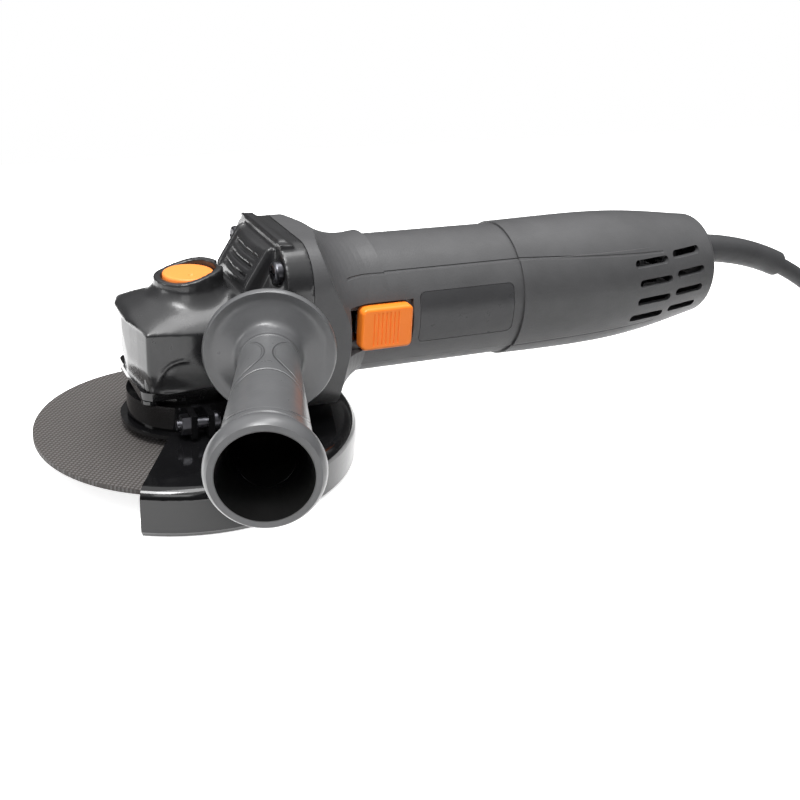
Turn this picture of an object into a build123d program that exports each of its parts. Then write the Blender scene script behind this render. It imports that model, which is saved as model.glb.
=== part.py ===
from build123d import *
import os
from math import cos, pi, radians, sin, sqrt, tan

# An angle grinder for 115 mm discs, in millimetres.
# The spindle axis is Z. While the pieces are made, Z = 0 is the disc's seat on the inner flange.
# They are written out with the origin at the spindle's free tip, 12.8 mm below that seat.
# The motor axis is parallel to X, at MOTOR_Z, and the tail points along +X.
# The side handle points to -Y, and leans forward by HANDLE_LEAN degrees.

# ---------- driving dimensions ----------
MOTOR_Z = 41.8
FLOOR_Z = -13.3
RUNNING = 0.02
GAP = 0.3

DISC_R = 57.5
DISC_THICK = 1.8
DISC_BORE_R = 11.13

SPINDLE_R = 7.0
SPINDLE_TIP_Z = -12.8
FREE_END_Z = -9.1
THREAD_PITCH_R = 6.6
TIP_CHAMFER = 0.45
SHOULDER_R = 9.5
JOURNAL_R = 6.0
GEAR_SEAT_R = 5.5
TOP_JOURNAL_R = 3.5
SPINDLE_TOP_Z = 52.0

FLANGE_R = 17.0
FLANGE_THICK = 3.7
NUT_R = 20.0
NUT_HOLE_SPACING = 30.0
NUT_HOLE_R = 2.6

GUARD_R = 67.2
GUARD_SHEET = 1.6
GUARD_PLATE_Z = 3.5
GUARD_NECK_R = 20.4
GUARD_LIP_R = 24.5  # small flat lip all round the foot of the guard's neck
GUARD_START = 241.5
GUARD_SWEEP = 186.0

BOSS_R = 19.0
BOSS_BOTTOM_Z = 5.7
BEARING_Z = 8.6
HEAD_BOTTOM_Z = 22.7
SHOULDER_Z = 43.7
CHAMBER_R = 19.8
CHAMBER_TOP_Z = 39.0

GEAR_TEETH = 39
PINION_TEETH = 13
MODULE = 0.95

BUTTON_X = 3.0
BUTTON_R = 9.7
BUTTON_BOTTOM_Z = 57.7
BUTTON_TOP_Z = 61.2
WELL_Z = 53.5
PIN_X = 5.2
PIN_Y = -6.6
PIN_R = 2.0
PIN_TIP_Z = 38.2
PIN_SINK_Z = 60.0

FACE_X = 31.0
SEAM_X = 41.0
CASE_HALF_Y = 32.5
CASE_HALF_Z = 33.3
CASE_CORNER_R = 16.0
CASE_R = 27.3
CASE_INNER_R = 24.6
FAN_SPACE_R = 26.5
TAIL_SEAM_X = 134.0
TAIL_R = 28.2
TAIL_SECTIONS = ((134.0, 28.2), (160.0, 28.6), (185.0, 28.35), (205.0, 26.8), (220.0, 24.7), (236.5, 22.2))
TAIL_END_X = TAIL_SECTIONS[-1][0]
TAIL_LIFT = 2.1
TAIL_WALL = 2.3
PAD_RISE = 0.6
PAD_HALF_Z = 18.5
CLAMP_X = 218.0

SHAFT_R = 4.0
CORE_START_X = 66.0
CORE_END_X = 104.0
ARMATURE_R = 14.8
STATOR_R = 24.4
STATOR_FLAT_Y = 21.4
COMMUTATOR_R = 11.0
BRUSH_X = 119.0

HANDLE_LEAN = 20.0
HANDLE_ROOT_X = 35.65
HANDLE_START = 33.3
HANDLE_END = 136.5
STUD_R = 4.0
STUD_START = 15.5

SCREW_PITCH = 24.0
SWITCH_TRAVEL = 5.0
SWITCH_X0 = 61.4
SWITCH_X1 = 82.8
SWITCH_Z0 = 33.0
SWITCH_Z1 = 50.0

CORD_R = 4.0
BOOT_R = 6.5
BOOT_TIP_R = 6.0
BOOT_START = (235.5, 50.35)
BOOT_DIP = 1.0
BOOT_BEND_R = 150.0
BOOT_LENGTH = 58.0
COIL_X = 405.0
COIL_Y = -50.0
COIL_LAYER_R = (33.0, 41.0, 49.0, 57.0)
PLUG_Z = FLOOR_Z + 9.2



# ---------- helpers ----------
def cyl_z(r, z0, z1, x=0.0, y=0.0):
    """A cylinder along Z."""
    return Pos(x, y, (z0 + z1) / 2) * Cylinder(r, z1 - z0)


def cyl_x(r, x0, x1, y=0.0, z=MOTOR_Z):
    """A cylinder along X, on the motor axis unless told otherwise."""
    return Pos((x0 + x1) / 2, y, z) * Rot(0, 90, 0) * Cylinder(r, x1 - x0)


def cyl_y(r, y0, y1, x, z):
    """A cylinder along Y."""
    return Pos(x, (y0 + y1) / 2, z) * Rot(90, 0, 0) * Cylinder(r, y1 - y0)


def block(x0, x1, y0, y1, z0, z1):
    """A box between two corners."""
    return Pos((x0 + x1) / 2, (y0 + y1) / 2, (z0 + z1) / 2) * Box(x1 - x0, y1 - y0, z1 - z0)


def turned_x(outline):
    """The (x, radius) outline turned about the motor axis."""
    face = Plane.XZ * make_face(Polyline(*outline, close=True))
    return Pos(0, 0, MOTOR_Z) * revolve(face, Axis.X)


def turned_z(outline, angle=360.0):
    """The (radius, z) outline turned about the spindle axis."""
    face = Plane.XZ * make_face(Polyline(*outline, close=True))
    return revolve(face, Axis.Z, angle)


def case_section(x, inset=0.0):
    """The rounded square section of the head joint, at one X."""
    width = 2 * (CASE_HALF_Y - inset)
    height = 2 * (CASE_HALF_Z - inset)
    plane = Plane(origin=(x, 0, MOTOR_Z), x_dir=(0, 1, 0), z_dir=(1, 0, 0))
    return plane * RectangleRounded(width, height, CASE_CORNER_R - inset)


def corner_places():
    """The (y, z) places of the four long screws of the head joint."""
    return [(sy * SCREW_PITCH, MOTOR_Z + sz * SCREW_PITCH) for sy in (-1, 1) for sz in (-1, 1)]


def on_handle(distance, side=-1):
    """A place on the handle's axis, measured from the motor axis; side -1 is the handle's side."""
    lean = radians(HANDLE_LEAN)
    return (HANDLE_ROOT_X - distance * sin(lean), side * distance * cos(lean), MOTOR_Z)


def handle_plane(distance, side=-1):
    """A plane square to the handle's axis, with Z pointing outwards."""
    lean = radians(HANDLE_LEAN)
    out = (-sin(lean), side * cos(lean), 0)
    return Plane(origin=on_handle(distance, side), x_dir=(0, 0, 1), z_dir=out)


def along_handle(r, start, end, side=-1):
    """A cylinder on the handle's axis."""
    return extrude(handle_plane(start, side) * Circle(r), end - start)


def coil_spring(wire_r, mean_r, length, turns):
    """A compression spring along Z from Z = 0, with its wire inside the length."""
    rise = length - 2 * wire_r
    path = Helix(pitch=rise / turns, height=rise, radius=mean_r)
    wire = sweep(Plane(origin=path @ 0, z_dir=path % 0) * Circle(wire_r), path)
    return Pos(0, 0, wire_r) * wire


# ---------- gear head ----------
def head_plan(grow=0.0):
    """The plan of the cast head: a blunt nose with two facets and straight flanks."""
    nose = -23.0 - grow
    flank = 24.5 + grow
    points = [
        (FACE_X + 2, flank),
        (-13.0, flank),
        (-19.0 - grow, 22.0),
        (nose, 9.5),
        (nose, -9.5),
        (-19.0 - grow, -22.0),
        (-13.0, -flank),
        (FACE_X + 2, -flank),
    ]
    return make_face(Polyline(*points, close=True))


def head_roof():
    """The roof: a brim that stands proud of the flanks and rises in two slopes to the boss."""
    brim = extrude(Plane.XY.offset(SHOULDER_Z) * head_plan(0.9), 4.3)
    slope = extrude(Plane.XY.offset(SHOULDER_Z + 4.3) * head_plan(0.4), 4.2, taper=38)
    crown = extrude(Plane.XY.offset(SHOULDER_Z + 8.5) * head_plan(-3.2), 3.3, taper=66)
    return brim + slope + crown


def louvre_wedge():
    """The sloping block behind the button, which carries the air outlet."""
    outline = [(17.0, 48.0), (20.0, 58.0), (28.7, 72.0), (34.0, 73.5), (34.0, 48.0)]
    face = Plane.XZ * make_face(Polyline(*outline, close=True))
    return extrude(face, 18.0, both=True)


def make_gear_housing():
    lower = extrude(Plane.XY.offset(SHOULDER_Z) * head_plan(), HEAD_BOTTOM_Z - SHOULDER_Z, taper=4)
    joint = extrude(case_section(FACE_X), SEAM_X - FACE_X)
    neck_low = Plane(origin=(21.2, 0, 37.0), x_dir=(0, 1, 0), z_dir=(1, 0, 0))
    neck_high = Plane(origin=(FACE_X, 0, MOTOR_Z), x_dir=(0, 1, 0), z_dir=(1, 0, 0))
    neck = loft([neck_low * RectangleRounded(44, 26, 8), neck_high * RectangleRounded(60, 54, 12)])
    boss = Pos(BUTTON_X, 0, 55.6) * Cone(15.0, 12.4, 7.2)
    housing = lower + head_roof() + joint + neck + louvre_wedge() + boss
    for side in (-1, 1):
        housing += along_handle(11.5, STUD_START + 1, HANDLE_START - GAP, side)
    housing += block(31.5, 34.8, -19.5, 19.5, 73.0, 76.6)
    for y, z in corner_places():
        housing -= cyl_x(5.0, 8.0, FACE_X - 0.5, y, z)
        housing -= cyl_x(2.5, FACE_X - 1, SEAM_X + 1, y, z)
    return housing - head_hollows()


def head_hollows():
    """Everything that the head is hollowed out for."""
    hollow = cyl_z(CHAMBER_R, HEAD_BOTTOM_Z - 1, CHAMBER_TOP_Z)
    hollow += cyl_x(8.5, 8.4, 27.5)
    hollow += cyl_x(11.02, 27.0, 34.2)
    hollow += cyl_x(7.0, 34.0, 36.5)
    hollow += cyl_x(25.0, 36.0, SEAM_X + 1)
    hollow += cyl_z(5.0, CHAMBER_TOP_Z - 1, SPINDLE_TOP_Z + 0.3)
    hollow += cyl_z(10.1, WELL_Z, 62.0, BUTTON_X, 0)
    hollow += cyl_z(PIN_R + RUNNING, CHAMBER_TOP_Z - 1, WELL_Z + 1, PIN_X, PIN_Y)
    hollow += cyl_z(3.5, CHAMBER_TOP_Z - 1, 43.6, PIN_X, PIN_Y)
    outline = [(36.5, 57.0), (36.5, 70.0), (29.8, 70.0), (23.5, 59.5), (25.0, 57.0)]
    duct = Plane.XZ * make_face(Polyline(*outline, close=True))
    hollow += extrude(duct, 15.0, both=True)
    slope = sqrt(8.7 ** 2 + 14.0 ** 2)
    for step in (0.22, 0.48, 0.74):
        place = Pos(20.0 + 8.7 * step, 0, 58.0 + 14.0 * step) * Rot(0, 58.0 - 90.0, 0)
        hollow += place * Box(9.0, 25.0, 0.16 * slope)
    for side in (-1, 1):
        hollow += along_handle(STUD_R, STUD_START - 0.5, HANDLE_START + 1, side)
    for sx in (-1, 1):
        for sy in (-1, 1):
            hollow += cyl_z(1.9, HEAD_BOTTOM_Z - 1, 33.0, sx * 17.2, sy * 17.2)
    return hollow


def make_bearing_box():
    plate = Pos(0, 0, 21.1) * extrude(RectangleRounded(41.5, 41.5, 5), 1.6)
    plate += Pos(0, 0, 19.5) * extrude(RectangleRounded(41.5, 41.5, 5), 1.6)
    box = plate + cyl_z(BOSS_R, BOSS_BOTTOM_Z, 21.0) + cyl_z(CHAMBER_R - 0.1, 22.0, 24.5)
    box -= cyl_z(16.02, BEARING_Z, 25.0)
    box -= cyl_z(SHOULDER_R + 0.4, BOSS_BOTTOM_Z - 1, BEARING_Z + 1)
    for sx in (-1, 1):
        for sy in (-1, 1):
            box -= cyl_z(2.1, 19.0, 23.0, sx * 17.2, sy * 17.2)
    return box


def bearing(outer_r, bore_r, width):
    """A sealed ball bearing along Z from Z = 0: two races, their seals and a groove at each side."""
    ring = cyl_z(outer_r, 0, width) - cyl_z(bore_r, -1, width + 1)
    land = (outer_r - bore_r) / 4
    for z0 in (-1, width - 0.4):
        ring -= cyl_z(outer_r - land, z0, z0 + 1.4) - cyl_z(bore_r + land, z0, z0 + 1.4)
    return ring


def along_x(solid, x):
    """Turns a solid that was made along Z to lie along X from one X on the motor axis."""
    return Pos(x, 0, MOTOR_Z) * Rot(0, 90, 0) * solid


def screw(head_r, head_h, shank_r, length):
    """A cross-recess pan-head screw: its head above Z = 0, its shank below."""
    body = cyl_z(head_r, 0, head_h) + cyl_z(shank_r, -length, 0)
    body = fillet(body.edges().group_by(Axis.Z)[-1], head_h * 0.45)
    for angle in (0, 90):
        body -= Rot(0, 0, angle) * block(-head_r * 0.6, head_r * 0.6, -0.45, 0.45, head_h * 0.45, head_h + 1)
    return body


def make_head_screws():
    """The long screws that hold the head to the field case."""
    one = screw(4.2, 3.0, 2.48, 16.0)
    return [Pos(FACE_X - 0.5, y, z) * Rot(0, -90, 0) * one for y, z in corner_places()]


def make_bearing_box_screws():
    one = Rot(180, 0, 0) * screw(3.4, 2.4, 1.88, 12.5)
    return [Pos(sx * 17.2, sy * 17.2, 19.5) * one for sx in (-1, 1) for sy in (-1, 1)]


def make_top_bush():
    return cyl_z(5.0, 45.8, SPINDLE_TOP_Z - 0.2) - cyl_z(TOP_JOURNAL_R + RUNNING, 45, 53)


# ---------- spindle, flange, disc and nut ----------
def make_spindle():
    """The thread is a plain cylinder of its outer size at the free end, and of its pitch size under the nut."""
    shaft = cyl_z(SPINDLE_R, SPINDLE_TIP_Z, FREE_END_Z) + cyl_z(THREAD_PITCH_R, FREE_END_Z, -DISC_THICK)
    shaft += cyl_z(SPINDLE_R, -DISC_THICK, FLANGE_THICK) + cyl_z(SHOULDER_R, FLANGE_THICK, BEARING_Z)
    shaft += cyl_z(JOURNAL_R, BEARING_Z, 19.6) + cyl_z(GEAR_SEAT_R, 19.6, 38.0)
    shaft += cyl_z(TOP_JOURNAL_R, 38.0, SPINDLE_TOP_Z)
    return chamfer(shaft.edges().group_by(Axis.Z)[0], TIP_CHAMFER)


def bevel_blank(teeth, pitch_r, cone_deg, face, tip, root, backing):
    """A bevel gear with straight teeth, apex at the origin, its teeth facing the apex along +Z."""
    slant = pitch_r / sin(radians(cone_deg))
    inner = 1 - face / slant

    def ring(scale, offset):
        angle = radians(cone_deg)
        r = scale * pitch_r + offset * cos(angle)
        z = -scale * slant * cos(angle) + offset * sin(angle)
        return (r, z)

    blank = turned_z([
        (0, ring(1, -root)[1] - backing),
        (ring(1, -root)[0], ring(1, -root)[1] - backing),
        ring(1, -root),
        ring(inner, -root),
        (0, ring(inner, -root)[1]),
    ])
    spread = pi * pitch_r / teeth
    foot = 0.30 * spread
    head = 0.13 * spread
    sections = []
    for scale in (1.0, inner):
        low = ring(scale, -root - 0.3)
        high = ring(scale, tip)
        w0, w1 = foot * 2 * scale, head * 2 * scale
        face_wire = Polyline(
            (low[0], -w0, low[1]), (low[0], w0, low[1]),
            (high[0], w1, high[1]), (high[0], -w1, high[1]), close=True)
        sections.append(make_face(face_wire))
    tooth = loft(sections, ruled=True)
    teeth_solids = [Rot(0, 0, 360.0 * i / teeth) * tooth for i in range(teeth)]
    return blank + teeth_solids


def gear_cone():
    return 90.0 - 18.435


def make_crown_gear():
    pitch_r = MODULE * GEAR_TEETH / 2
    gear = Pos(0, 0, MOTOR_Z) * bevel_blank(GEAR_TEETH, pitch_r, gear_cone(), 6.3, 0.55, 0.95, 2.6)
    gear -= cyl_z(12.0, 33.6, 42.0)
    gear -= cyl_z(30.0, 0.0, 31.4)
    gear += cyl_z(7.0, 19.7, 37.9)
    gear += cyl_z(12.6, 31.4, 34.0)
    gear -= cyl_z(GEAR_SEAT_R, 19.0, 40.0)
    for quarter in range(4):
        gear -= Rot(0, 0, 90 * quarter) * cyl_z(PIN_R + 0.35, 30.0, 40.0, PIN_X, PIN_Y)
    return gear


def make_inner_flange():
    flange = cyl_z(FLANGE_R, 0.0, FLANGE_THICK) + cyl_z(DISC_BORE_R - 0.03, -1.2, 0.0)
    flange -= cyl_z(13.0, -0.01, 0.6) - cyl_z(DISC_BORE_R - 0.03, -1.0, 1.0)
    flange = chamfer(flange.edges().group_by(Axis.Z)[-1], 0.8)
    return flange - cyl_z(SPINDLE_R, -2.0, FLANGE_THICK + 1)


def make_cutting_disc():
    return cyl_z(DISC_R, -DISC_THICK, 0.0) - cyl_z(DISC_BORE_R, -DISC_THICK - 1, 1)


def make_lock_nut():
    top = -DISC_THICK
    nut = cyl_z(NUT_R, top - 3.4, top) + cyl_z(12.5, top - 7.0, top - 3.4)
    nut = chamfer(nut.edges().group_by(Axis.Z)[0], 0.8)
    for side in (-1, 1):
        nut -= cyl_z(NUT_HOLE_R, top - 8, top + 1, side * NUT_HOLE_SPACING / 2, 0)
    return nut - cyl_z(THREAD_PITCH_R, top - 8, top + 1)


# ---------- guard ----------
def make_guard():
    inner = GUARD_R - GUARD_SHEET
    top = GUARD_PLATE_Z + GUARD_SHEET
    neck = [
        (GUARD_NECK_R - 1.2, GUARD_PLATE_Z), (GUARD_LIP_R, GUARD_PLATE_Z), (GUARD_LIP_R, top),
        (GUARD_NECK_R, top), (GUARD_NECK_R, 15.8), (GUARD_NECK_R - 1.2, 15.8)]
    shell = Plane.XZ * make_face(
        Line((GUARD_LIP_R - 1.0, top), (GUARD_R - 4.5, top))
        + RadiusArc((GUARD_R - 4.5, top), (GUARD_R, top - 4.5), 4.5)
        + Polyline((GUARD_R, top - 4.5), (GUARD_R, FLOOR_Z + 2.2), (GUARD_R - 1.6, FLOOR_Z),
                   (GUARD_R - 3.2, FLOOR_Z), (inner, FLOOR_Z + 2.6), (inner, GUARD_PLATE_Z - 2.9))
        + RadiusArc((inner, GUARD_PLATE_Z - 2.9), (inner - 2.9, GUARD_PLATE_Z), -2.9)
        + Polyline((inner - 2.9, GUARD_PLATE_Z), (GUARD_LIP_R - 1.0, GUARD_PLATE_Z), (GUARD_LIP_R - 1.0, top)))
    swept = Rot(0, 0, GUARD_START) * revolve(shell, Axis.Z, GUARD_SWEEP)
    return turned_z(neck) + swept


def clamp_frame():
    """The place of the clamp's ears: turned so that X points out of the band."""
    return Rot(0, 0, 268.0)


def make_guard_band():
    band = cyl_z(21.9, 6.6, 15.6) - cyl_z(GUARD_NECK_R + 0.02, 6, 16)
    ears = block(21.0, 30.0, -4.4, -2.0, 6.6, 15.6) + block(21.0, 30.0, 2.0, 4.4, 6.6, 15.6)
    ears -= cyl_y(2.05, -6, 6, 26.0, 11.1)
    split = block(19.0, 23.0, -2.0, 2.0, 6, 16)
    return clamp_frame() * (band + ears - split)


def make_clamp_screw():
    body = Rot(-90, 0, 0) * screw(3.7, 2.8, 2.0, 13.5)
    return clamp_frame() * Pos(26.0, 4.4, 11.1) * body


def make_clamp_nut():
    hexagon = extrude(RegularPolygon(4.0, 6), 3.0) - cyl_z(2.0, -1, 4)
    return clamp_frame() * Pos(26.0, -4.4, 11.1) * Rot(90, 0, 0) * hexagon


# ---------- spindle lock ----------
def make_lock_button():
    cap = cyl_z(BUTTON_R, BUTTON_BOTTOM_Z, BUTTON_TOP_Z, BUTTON_X, 0)
    cap = fillet(cap.edges().group_by(Axis.Z)[-1], 1.0)
    cap -= Pos(BUTTON_X, -4.4, BUTTON_TOP_Z + 0.9) * Sphere(1.5)
    return cap - cyl_z(PIN_R, BUTTON_BOTTOM_Z - 1, PIN_SINK_Z, PIN_X, PIN_Y)


def make_lock_pin():
    pin = cyl_z(PIN_R, PIN_TIP_Z, PIN_SINK_Z, PIN_X, PIN_Y)
    pin -= cyl_z(3.0, 42.4, 43.2, PIN_X, PIN_Y) - cyl_z(1.6, 42.0, 43.6, PIN_X, PIN_Y)
    return chamfer(pin.edges().group_by(Axis.Z)[0], 0.4)


def make_lock_clip():
    clip = cyl_z(3.1, 42.4, 43.2, PIN_X, PIN_Y) - cyl_z(1.6, 42.0, 43.6, PIN_X, PIN_Y)
    return clip - block(PIN_X - 4, PIN_X, PIN_Y - 1.2, PIN_Y + 1.2, 42, 44)


def make_lock_spring():
    return Pos(PIN_X, PIN_Y, WELL_Z) * coil_spring(0.3, 2.6, BUTTON_BOTTOM_Z - WELL_Z, 3.5)


# ---------- motor ----------
def make_pinion():
    pitch_r = MODULE * PINION_TEETH / 2
    blank = bevel_blank(PINION_TEETH, pitch_r, 18.435, 6.3, 0.55, 0.95, 6.0)
    return Pos(0, 0, MOTOR_Z) * Rot(0, -90, 0) * blank - cyl_x(3.0, 5, 40)


def make_pinion_nut():
    hexagon = extrude(RegularPolygon(4.2, 6), 2.6) - cyl_z(3.0, -1, 4)
    return along_x(hexagon, 9.2)


def make_armature_shaft():
    shaft = cyl_x(3.0, 8.9, 25.0) + cyl_x(SHAFT_R, 25.0, 133.0) + cyl_x(3.5, 133.0, 145.0)
    return shaft


def make_armature_core():
    core = cyl_x(ARMATURE_R, CORE_START_X, CORE_END_X) - cyl_x(SHAFT_R, 60, 110)
    for i in range(12):
        slot = Rot(30 * i, 0, 0) * block(CORE_START_X - 1, CORE_END_X + 1, -0.7, 0.7, 11.5, 16.0)
        core -= Pos(0, 0, MOTOR_Z) * slot
    return core


def make_armature_winding():
    ends = []
    for x0, x1 in ((58.5, CORE_START_X), (CORE_END_X, 110.5)):
        end = fillet((cyl_x(12.8, x0, x1)).edges(), 2.0)
        ends.append(end - cyl_x(SHAFT_R, 50, 120))
    return ends


def make_commutator():
    body = cyl_x(COMMUTATOR_R, 112.0, 126.5)
    for i in range(24):
        slit = Rot(15 * i, 0, 0) * block(113.0, 127.5, -0.25, 0.25, 9.6, 12.0)
        body -= Pos(0, 0, MOTOR_Z) * slit
    return body - cyl_x(SHAFT_R, 100, 130)


def make_fan():
    fan = cyl_x(7.5, 42.6, 52.6) + cyl_x(25.0, 51.0, 52.6)
    for i in range(11):
        blade = Rot(360.0 * i / 11, 0, 0) * Pos(0, 2.0, 0) * block(43.4, 51.2, 0.0, 1.4, 6.5, 24.4)
        fan += Pos(0, 0, MOTOR_Z) * blade
    return fan - cyl_x(SHAFT_R, 40, 60)


def make_fan_baffle():
    return cyl_x(FAN_SPACE_R - 0.05, 53.4, 55.0) - cyl_x(17.0, 50, 60)


def coil_bars():
    """The four places where the field windings pass through the stator."""
    return (35.0, 145.0, 215.0, 325.0)


def bar_at(angle, x0, x1, grow=0.0):
    bar = block(x0, x1, 16.0 - grow, 21.0 + grow, -3.0 - grow, 3.0 + grow)
    return Pos(0, 0, MOTOR_Z) * Rot(angle, 0, 0) * bar


def make_stator_core():
    core = cyl_x(STATOR_R, CORE_START_X, CORE_END_X) - cyl_x(15.4, 60, 110)
    core &= block(60, 110, -STATOR_FLAT_Y, STATOR_FLAT_Y, MOTOR_Z - 30, MOTOR_Z + 30)
    for angle in coil_bars():
        core -= bar_at(angle, 60, 110, 0.2)
    return core


def make_field_coils():
    coils = []
    for first in (35.0, 215.0):
        coil = bar_at(first, 58.0, 111.0) + bar_at(first + 110.0, 58.0, 111.0)
        for x0, x1 in ((58.0, 64.5), (105.5, 111.0)):
            plane = Plane(origin=(x0, 0, MOTOR_Z), x_dir=(0, 1, 0), z_dir=(1, 0, 0))
            arc = CenterArc((0, 0), 18.5, first, 110.0)
            band = extrude(plane * trace(arc, 5.0), x1 - x0)
            coil += band
        coils.append(coil)
    return coils


def make_brush_holders():
    holders = []
    for side in (-1, 1):
        z0, z1 = sorted((MOTOR_Z + side * 12.2, MOTOR_Z + side * 23.6))
        box = block(BRUSH_X - 4.2, BRUSH_X + 4.2, -4.2, 4.2, z0, z1)
        inner = sorted((MOTOR_Z + side * 11.0, MOTOR_Z + side * 23.0))
        box -= block(BRUSH_X - 3.3, BRUSH_X + 3.3, -3.3, 3.3, inner[0], inner[1])
        holders.append(box)
    return holders


def make_carbon_brushes():
    brushes = []
    for side in (-1, 1):
        z0, z1 = sorted((MOTOR_Z + side * 9.0, MOTOR_Z + side * 19.0))
        brush = block(BRUSH_X - 3.2, BRUSH_X + 3.2, -3.2, 3.2, z0, z1)
        brushes.append(brush - cyl_x(COMMUTATOR_R + 0.05, 110, 130))
    return brushes


def make_brush_springs():
    spring = coil_spring(0.3, 2.2, 3.9, 4)
    top = Pos(BRUSH_X, 0, MOTOR_Z + 19.05) * spring
    bottom = Pos(BRUSH_X, 0, MOTOR_Z - 19.05) * Rot(180, 0, 0) * spring
    return [top, bottom]


# ---------- field case ----------
def side_pads(x0, x1, r):
    """The raised pads along both flanks, between two edges that run with the motor."""
    pad = cyl_x(r, x0, x1)
    trim = block(x0, x1, 18.0, 40.0, MOTOR_Z - PAD_HALF_Z, MOTOR_Z + PAD_HALF_Z)
    trim += block(x0, x1, -40.0, -18.0, MOTOR_Z - PAD_HALF_Z, MOTOR_Z + PAD_HALF_Z)
    return pad & trim


def case_flare():
    """The trumpet from the head joint down to the round barrel, leaning with the lower edge back."""
    bend = 25.4
    arc = [(72.0 - bend * sin(radians(a)), CASE_R - 0.4 + bend * (1 - cos(radians(a)))) for a in range(0, 73, 6)]
    outline = [(38.0, 0.0), (76.0, 0.0), (76.0, CASE_R - 0.4)] + arc + [(38.0, arc[-1][1])]
    flare = turned_x(outline)
    leaned = Pos(56.0, 0, MOTOR_Z) * Rot(0, -7, 0) * Pos(-56.0, 0, -MOTOR_Z) * flare
    return leaned & extrude(case_section(SEAM_X), 40.0)


def make_field_case():
    case = case_flare() + cyl_x(CASE_R, 60.0, TAIL_SEAM_X)
    case += side_pads(62.0, TAIL_SEAM_X, CASE_R + PAD_RISE)
    case += cyl_x(25.5, TAIL_SEAM_X, 147.0)
    case -= cyl_x(FAN_SPACE_R, SEAM_X - 3, 55.0)
    case -= cyl_x(CASE_INNER_R, 54.0, TAIL_SEAM_X)
    case -= cyl_x(23.4, 130.0, 150.0)
    case += rear_bridge()
    for y, z in corner_places():
        case -= cyl_x(2.5, SEAM_X - 1, 47.5, y, z)
    case -= block(56.4, 84.4, -40.0, -25.1, SWITCH_Z0 - 0.9, SWITCH_Z1 + 0.9)
    case -= block(58.5, 82.0, -30.0, -20.0, 35.4, 48.2)
    case -= block(120.0, 150.0, -30.0, -20.0, MOTOR_Z - 5.5, MOTOR_Z + 5.5) & cyl_x(25.6, 126.0, 150.0)
    case -= label_skin(CASE_R + 0.1, 0.4)
    case -= cyl_z(1.9, MOTOR_Z - 27.0, MOTOR_Z - 20.0, 141.0, 0)
    return case


def rear_bridge():
    """The bar across the back of the case that holds the rear bearing, and the brush holders' blocks."""
    bar = block(136.4, 143.6, -8.0, 8.0, MOTOR_Z - 24.0, MOTOR_Z + 24.0)
    bar += cyl_x(12.0, 136.4, 143.6)
    bar -= cyl_x(9.52, 137.4, 150.0)
    bar -= cyl_x(6.0, 130.0, 150.0)
    for side in (-1, 1):
        z0, z1 = sorted((MOTOR_Z + side * 14.5, MOTOR_Z + side * 24.9))
        wall = block(BRUSH_X - 6.0, BRUSH_X + 6.0, -7.0, 7.0, z0, z1)
        bar += wall & cyl_x(CASE_INNER_R + 0.5, 100, 130)
        z0, z1 = sorted((MOTOR_Z + side * 12.0, MOTOR_Z + side * 23.6))
        bar -= block(BRUSH_X - 4.2, BRUSH_X + 4.2, -4.2, 4.2, z0, z1)
    return bar


def label_skin(inner_r, trim):
    """A rounded panel of the pad's curve, where the rating label goes."""
    skin = cyl_x(CASE_R + 2, 87.0, 130.0) - cyl_x(inner_r, 80, 140)
    plane = Plane(origin=(108.4, 0, MOTOR_Z + 0.9), x_dir=(1, 0, 0), z_dir=(0, -1, 0))
    window = extrude(plane * RectangleRounded(42.0 + trim, 20.2 + trim, 2.5), 40.0)
    return skin & window


def make_label_plate():
    return label_skin(CASE_R + 0.1, 0.0) & cyl_x(CASE_R + 0.55, 80, 140)


# ---------- slide switch ----------
def make_slide_button():
    cap = block(SWITCH_X0, SWITCH_X1, -30.6, -25.4, SWITCH_Z0, SWITCH_Z1)
    cap = fillet(cap.edges().filter_by(Axis.Y), 2.2)
    cap = fillet(cap.edges().group_by(Axis.Y)[0], 1.2)
    for i in range(7):
        cap -= block(66.0 + 1.7 * i, 66.5 + 1.7 * i, -31.0, -30.3, SWITCH_Z0 + 2, SWITCH_Z1 - 2)
    stem = block(64.6, 79.6, -25.5, -24.0, 36.0, 47.6)
    return cap + stem


def make_switch_rod():
    rod = block(62.0, 172.0, -23.9, -22.2, MOTOR_Z - 4.0, MOTOR_Z + 4.0)
    rod += block(64.6, 79.6, -24.0, -22.2, 37.8, 45.8)
    rod += block(167.0, 172.0, -23.9, -9.5, MOTOR_Z - 2.0, MOTOR_Z + 2.0)
    return rod


def make_switch_body():
    body = block(174.0, 204.0, -9.0, 9.0, MOTOR_Z - 9.0, MOTOR_Z + 8.0)
    body = fillet(body.edges().filter_by(Axis.X), 1.5)
    for i in range(2):
        body += block(204.0, 208.0, -5.5 + 8 * i, -2.5 + 8 * i, MOTOR_Z - 6.0, MOTOR_Z - 4.5)
    return body


def make_capacitor():
    return fillet(block(209.0, 223.0, -7.0, 7.0, MOTOR_Z - 14.0, MOTOR_Z - 3.0).edges().filter_by(Axis.Y), 1.5)


# ---------- tail cover ----------
def tail_axis_z(x):
    """The tail's centre line rises a little towards its end."""
    return MOTOR_Z + TAIL_LIFT * ((x - TAIL_SEAM_X) / (TAIL_END_X - TAIL_SEAM_X)) ** 2


def tail_loft(sections):
    """A smooth body through (x, radius) circles on the tail's centre line."""
    faces = []
    for x, r in sections:
        place = Plane(origin=(x, 0, tail_axis_z(x)), x_dir=(0, 1, 0), z_dir=(1, 0, 0))
        faces.append(place * Circle(r))
    return loft(faces)


def tail_shape(inset):
    """The solid inside one skin of the tail, with a rounded rim at its end."""
    sections = [(x, r - inset) for x, r in TAIL_SECTIONS]
    last_x, last_r = sections[-1]
    sections[-1] = (last_x - inset, last_r)
    body = tail_loft(sections)
    return fillet(body.edges().group_by(Axis.X)[-1], 2.6)


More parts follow.
